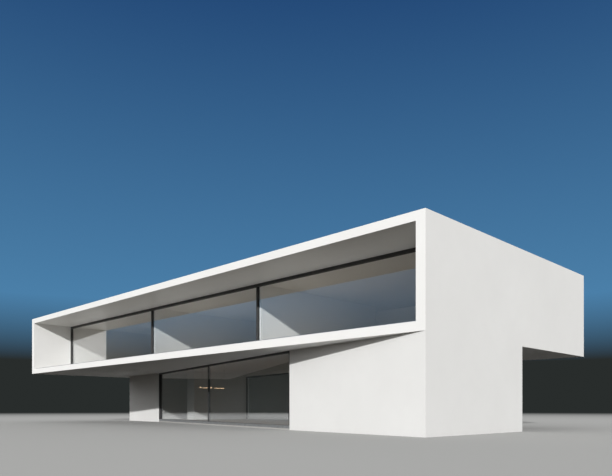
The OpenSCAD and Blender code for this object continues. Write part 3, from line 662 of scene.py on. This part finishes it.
# Loggia edge and drain: a stainless angle holds the paving's front edge, and a bar grating covers the
# channel along the glazing.
steel_dark, steel_light = (0.52, 0.52, 0.51, 1.0), (0.66, 0.65, 0.63, 1.0)
steel, start, place = new_finish("brushed_steel")
brushing = noise(place, 40.0, 3.0, stretch=(30.0, 30.0, 0.6))
coat(start, {
    "Base Color": mixed(brushing, steel_dark, steel_light),
    "Metallic": 1.0, "Roughness": 0.26 + brushing * 0.18, "Normal": relief(brushing, 0.0002, 0.3)})

angle_t, angle_foot, angle_gap = 0.003, 0.045, 0.001
bar_w, bar_h, bar_count, side_gap = 0.005, 0.014, 5, 0.004
cross_pitch, cross_h = 0.12, 0.0084
glazing_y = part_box("upper_sill_rail")[0].y
channel_w = glazing_y - high.y - 2 * side_gap
loggia_steel = bmesh.new()
add_prism(loggia_steel, low.x, high.x, [
    (low.y - angle_t, low.z), (low.y - angle_t, high.z), (low.y - angle_gap, high.z),
    (low.y - angle_gap, low.z + angle_t)])
add_prism(loggia_steel, low.x, high.x, [
    (low.y - angle_foot, low.z), (low.y - angle_t, low.z), (low.y - angle_t, low.z + angle_t),
    (low.y - angle_foot, low.z + angle_t)])
for i in range(bar_count):
    y = high.y + side_gap + i * (channel_w - bar_w) / (bar_count - 1)
    add_prism(loggia_steel, low.x, high.x, [
        (y, high.z - bar_h), (y + bar_w, high.z - bar_h), (y + bar_w, high.z), (y, high.z)])
for x in every(cross_pitch, low.x + cross_pitch / 2, high.x - bar_w):
    add_block(loggia_steel, Vector((x, high.y + side_gap, high.z - bar_h)), along, -front, bar_w,
              channel_w, cross_h)
new_piece("loggia_edge_and_grating", loggia_steel, steel)


# Roof covering: a grey single-ply membrane over insulation laid to falls. Its sheets are welded where
# they lap, and a welded strip runs all round the edge. Dirt gathers in the low lines.
membrane_dark, membrane_light = (0.43, 0.43, 0.425, 1.0), (0.52, 0.52, 0.515, 1.0)
membrane_dirt, dirt_w = (0.30, 0.29, 0.26, 1.0), 1.5
sheet_w, lap_w, lap_t = 1.46, 0.09, 0.004
low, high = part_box("roof_covering")
membrane, start, place = new_finish("roof_membrane")
wear = noise(place, 0.8, 7.0)
fleece = noise(place, 320.0, 2.0)
low_lines = steps(start.maths("ABSOLUTE", coordinate(place, "Y")), high.y - dirt_w, high.y)
dirt = low_lines * steps(noise(place, 1.1, 6.0, seed=8.0), 0.42, 0.66)
sheet = start.maths("FLOOR", (coordinate(place, "X") - low.x) / sheet_w)
batch = start.node("TexWhiteNoise", {"noise_dimensions": "1D"}, {"W": sheet})
shade = mixed(wear * 0.6 + batch * 0.4, membrane_dark, membrane_light)
coat(start, {
    "Base Color": mixed(dirt * 0.45, shade, membrane_dirt),
    "Roughness": 0.58 + wear * 0.25, "Normal": relief(fleece * 0.15 + wear * 0.5, 0.002, 0.4)})
dress(membrane, "roof_covering")

tray_mid = (low.y + high.y) / 2
roof_points = [corner.co for corner in frame["nodes"]["roof_covering"].data.vertices]
edge_z = max(point.z for point in roof_points if point.y < low.y + same_level)
roof_fall = (high.z - edge_z) / (high.y - tray_mid)
laps = bmesh.new()
end_laps = [low.x, high.x - lap_w]
cross_laps = every(sheet_w, low.x + sheet_w, high.x - 2 * lap_w)
for starts, inset in ((end_laps, 0.0), (cross_laps, lap_w)):
    foot_z = edge_z + roof_fall * inset
    for x in starts:
        add_prism(laps, x, x + lap_w, [
            (low.y + inset, foot_z), (tray_mid, high.z), (high.y - inset, foot_z),
            (high.y - inset, foot_z + lap_t), (tray_mid, high.z + lap_t),
            (low.y + inset, foot_z + lap_t)])
lap_z = edge_z + roof_fall * lap_w
for y, lap_y in ((low.y, low.y + lap_w), (high.y, high.y - lap_w)):
    add_prism(laps, low.x + lap_w, high.x - lap_w, [
        (y, edge_z), (lap_y, lap_z), (lap_y, lap_z + lap_t), (y, edge_z + lap_t)])
new_piece("roof_laps", laps, membrane)


# Parapet skirt and clamping bar: a strip of the same membrane turns up the parapet's inner face and
# over its top, where a bar of bare aluminium holds it down.
def add_frame(mesh, low, high, section):
    """A mitred frame round a level rectangle. Its section is a list of (outwards, height) points."""
    loops = [[mesh.verts.new((x + sx * out, y + sy * out, z)) for out, z in section]
             for x, y, sx, sy in ((low.x, low.y, -1, -1), (high.x, low.y, 1, -1),
                                  (high.x, high.y, 1, 1), (low.x, high.y, -1, 1))]
    for side in range(4):
        join(mesh, loops[side], loops[(side + 1) % 4])


skirt_t, skirt_w, bar_w, bar_t, bar_set = 0.002, 0.125, 0.025, 0.0022, 0.090
parapet_points = [corner.co for corner in frame["nodes"]["parapet"].data.vertices]
inner_z = max(point.z for point in parapet_points if abs(point.y - low.y) < same_level)
outer_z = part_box("parapet")[1].z
top_fall = (outer_z - inner_z) / (low.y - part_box("parapet")[0].y)
skirt = bmesh.new()
add_frame(skirt, low, high, [
    (-skirt_t, edge_z), (0.0, edge_z), (0.0, inner_z), (skirt_w, inner_z + top_fall * skirt_w),
    (skirt_w, inner_z + top_fall * skirt_w + skirt_t), (-skirt_t, inner_z + skirt_t)])
new_piece("roof_skirt", skirt, membrane)

clamp = bmesh.new()
bar_far = bar_set + bar_w
add_frame(clamp, low, high, [
    (out, inner_z + top_fall * out + skirt_t + up)
    for out, up in ((bar_set, 0.0), (bar_far, 0.0), (bar_far, bar_t), (bar_set, bar_t))])
new_piece("roof_clamping_bar", clamp, sill_metal)


# Roof outlets: moulded black drains in the low lines, their flanges welded to the membrane, each under
# a domed leaf guard of curved ribs.
def add_disc(mesh, centre, radius, height, sides):
    """A low round plate on a centre."""
    turns = [math.tau * i / sides for i in range(sides)]
    foot = [centre + Vector((radius * math.cos(turn), radius * math.sin(turn), 0.0)) for turn in turns]
    add_solid(mesh, foot, [point + Vector((0, 0, height)) for point in foot])


def add_guard(mesh, foot, radius, height, ribs):
    """A dome of bowed ribs that stand round a foot and meet in a small crown."""
    for rib in range(ribs):
        turn = math.tau * rib / ribs
        spoke = Vector((math.cos(turn), math.sin(turn), 0.0))
        beside = Vector((-spoke.y, spoke.x, 0.0)) * (rib_w / 2)
        loops = []
        for step in range(rib_steps + 1):
            bend = math.pi / 2 * step / rib_steps
            bow = spoke * (radius * math.cos(bend)) + Vector((0, 0, height * math.sin(bend)))
            outer, inner = foot + bow, foot + bow * rib_inside
            loops.append([mesh.verts.new(point) for point in (
                outer - beside, outer + beside, inner + beside, inner - beside)])
        for here, there in zip(loops, loops[1:]):
            join(mesh, here, there)
        mesh.faces.new(loops[0])
        mesh.faces.new(loops[-1])
    add_disc(mesh, foot + Vector((0, 0, height - crown_sink)), crown_r, crown_t, crown_sides)


outlet_count, outlet_set, flange_r, flange_t, flange_sides = 4, 0.34, 0.15, 0.005, 32
guard_r, guard_h, guard_ribs, rib_steps, rib_w, rib_inside = 0.095, 0.042, 14, 6, 0.006, 0.90
crown_r, crown_t, crown_sink, crown_sides = 0.0323, 0.006, 0.004, 20
outlets = bmesh.new()
for side in (-1, 1):
    for i in range(outlet_count):
        centre = Vector((low.x + (i + 0.5) * (high.x - low.x) / outlet_count,
                         (high.y - outlet_set) * side, edge_z + roof_fall * outlet_set))
        add_disc(outlets, centre, flange_r, flange_t, flange_sides)
        add_guard(outlets, centre + Vector((0, 0, flange_t)), guard_r, guard_h, guard_ribs)
new_piece("roof_outlets", outlets, rubber)


# Ground slab: concrete cast on the ground and left bare, with a few small voids, which are sunk in the
# relief and darkened with painted shade. Its edge shows as a thin line under the terrace door.
concrete_dark, concrete_light = (0.40, 0.39, 0.37, 1.0), (0.54, 0.53, 0.50, 1.0)
# Colour of the painted shade inside the small voids.
void_painted_shade = (0.22, 0.21, 0.20, 1.0)
concrete, start, place = new_finish("ground_concrete")
cloud = noise(place, 1.4, 7.0)
grit = noise(place, 150.0, 3.0)
# The voids are sunk in the bump, and the same mask darkens their colour as painted shade.
voids = steps(noise(place, 42.0, 2.0, seed=6.0), 0.70, 0.76)
coat(start, {
    "Base Color": mixed(voids * 0.6, mixed(cloud, concrete_dark, concrete_light), void_painted_shade),
    "Roughness": 0.78 + grit * 0.15, "Normal": relief(grit * 0.2 - voids, 0.0015, 0.5)})
dress(concrete, "ground_slab")


# Rollers and pull handle of the sliding leaf: the same brushed steel as in the loggia. The rollers run
# on the sill's rib under the leaf, and the handle stands off its inner face.
dress(steel, "leaf_rollers", "leaf_handle")


# Pendant lamp: a lacquered black metal bar, hung on two rods from the ceiling. Globes and tubes of opal
# glass are seated on it and glow warm white.
lacquer_black, lacquer_light = (0.015, 0.014, 0.013, 1.0), (0.03, 0.028, 0.026, 1.0)
opal_white = (0.92, 0.86, 0.76, 1.0)
glow_amber, glow_pale, glow_strength = (1.0, 0.62, 0.34, 1.0), (1.0, 0.72, 0.45, 1.0), 1.6
lamp_metal, start, place = new_finish("lamp_metal")
lacquer = noise(place, 30.0, 3.0)
coat(start, {
    "Base Color": mixed(lacquer, lacquer_black, lacquer_light),
    "Roughness": 0.3 + lacquer * 0.15})
dress(lamp_metal, "lamp_frame")

opal, start, place = new_finish("lamp_opal")
milk = noise(place, 25.0, 3.0)
coat(start, {
    "Base Color": opal_white, "Roughness": 0.22 + milk * 0.1,
    "Emission Color": mixed(milk, glow_amber, glow_pale), "Emission Strength": glow_strength})
dress(opal, "lamp_globes_and_tubes")
